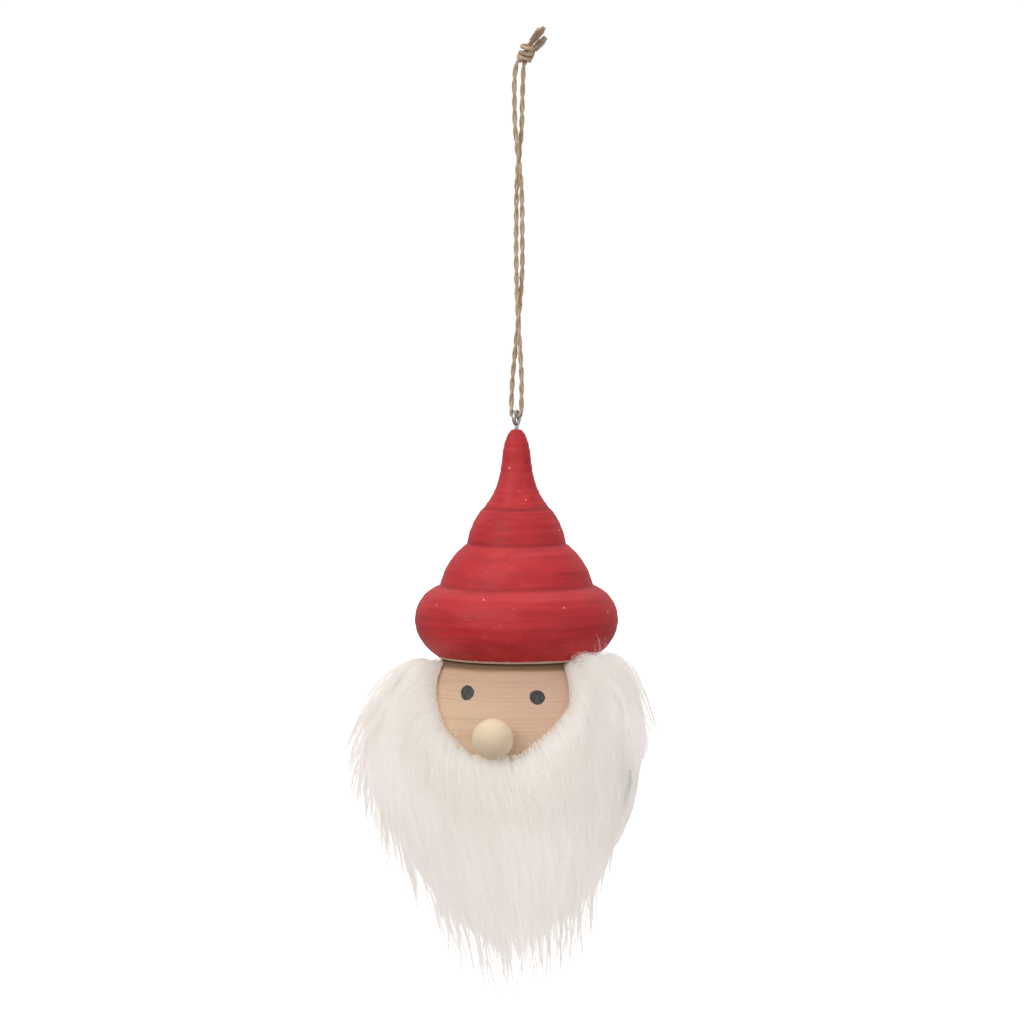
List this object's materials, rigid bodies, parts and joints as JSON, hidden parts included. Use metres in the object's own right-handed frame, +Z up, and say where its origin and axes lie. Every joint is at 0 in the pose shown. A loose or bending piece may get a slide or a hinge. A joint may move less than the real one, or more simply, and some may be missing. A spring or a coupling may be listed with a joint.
{
  "type": "tomte gnome ornament",
  "caption": "Hanging tomte head: turned wooden ball with a tiered red hat, ball nose, painted eyes and long white fur beard, on a knotted twine loop.",
  "frame": {"origin": "where a hook holds the top of the twine loop, just under its knot", "axes": "+Z up along the loop, -Y the way the face looks, +X to the right of a viewer who faces the face"},
  "size_m": [0.088, 0.0883, 0.2783],
  "materials": {
    "red_paint": "brushed satin paint on turned wood",
    "head_wood": "bare turned wood",
    "nose_wood": "smooth turned wood",
    "hidden_wood": "raw dowel",
    "eye_paint": "satin paint",
    "steel": "bright zinc-plated wire",
    "backing": "knitted fur backing",
    "fur": "long soft pile",
    "jute": "two-ply jute twine, hairy"
  },
  "bodies": {
    "hanging_cord": {"cord_knot": "jute", "cord_strand_left": "jute", "cord_strand_right": "jute", "cord_tail_long": "jute", "cord_tail_short": "jute"},
    "bight": {"cord_bight": "jute"},
    "ornament": {"screw_eye": "steel", "hat": "red_paint", "hat_dowel": "hidden_wood", "head": "head_wood", "nose": "nose_wood", "nose_peg": "hidden_wood", "eye_left": "eye_paint", "eye_right": "eye_paint", "beard_backing": "backing", "pile_left_temple": "fur", "pile_left_cheek": "fur", "pile_left_jaw": "fur", "pile_chin": "fur", "pile_right_jaw": "fur", "pile_right_cheek": "fur", "pile_right_temple": "fur"}
  },
  "joints": [
    {"name": "rock_sideways", "type": "hinge", "parent": "hanging_cord", "child": "bight", "pos_m": [0, 0, -0.1021], "axis": [0.2419, 0.9703, 0], "range_deg": [-60, 60], "deforming": ["cord_bight"]},
    {"name": "swing_fore_aft", "type": "hinge", "parent": "bight", "child": "ornament", "pos_m": [0, 0, -0.104], "axis": [0.9703, -0.2419, 0], "range_deg": [-80, 80], "deforming": ["cord_bight"]}
  ]
}
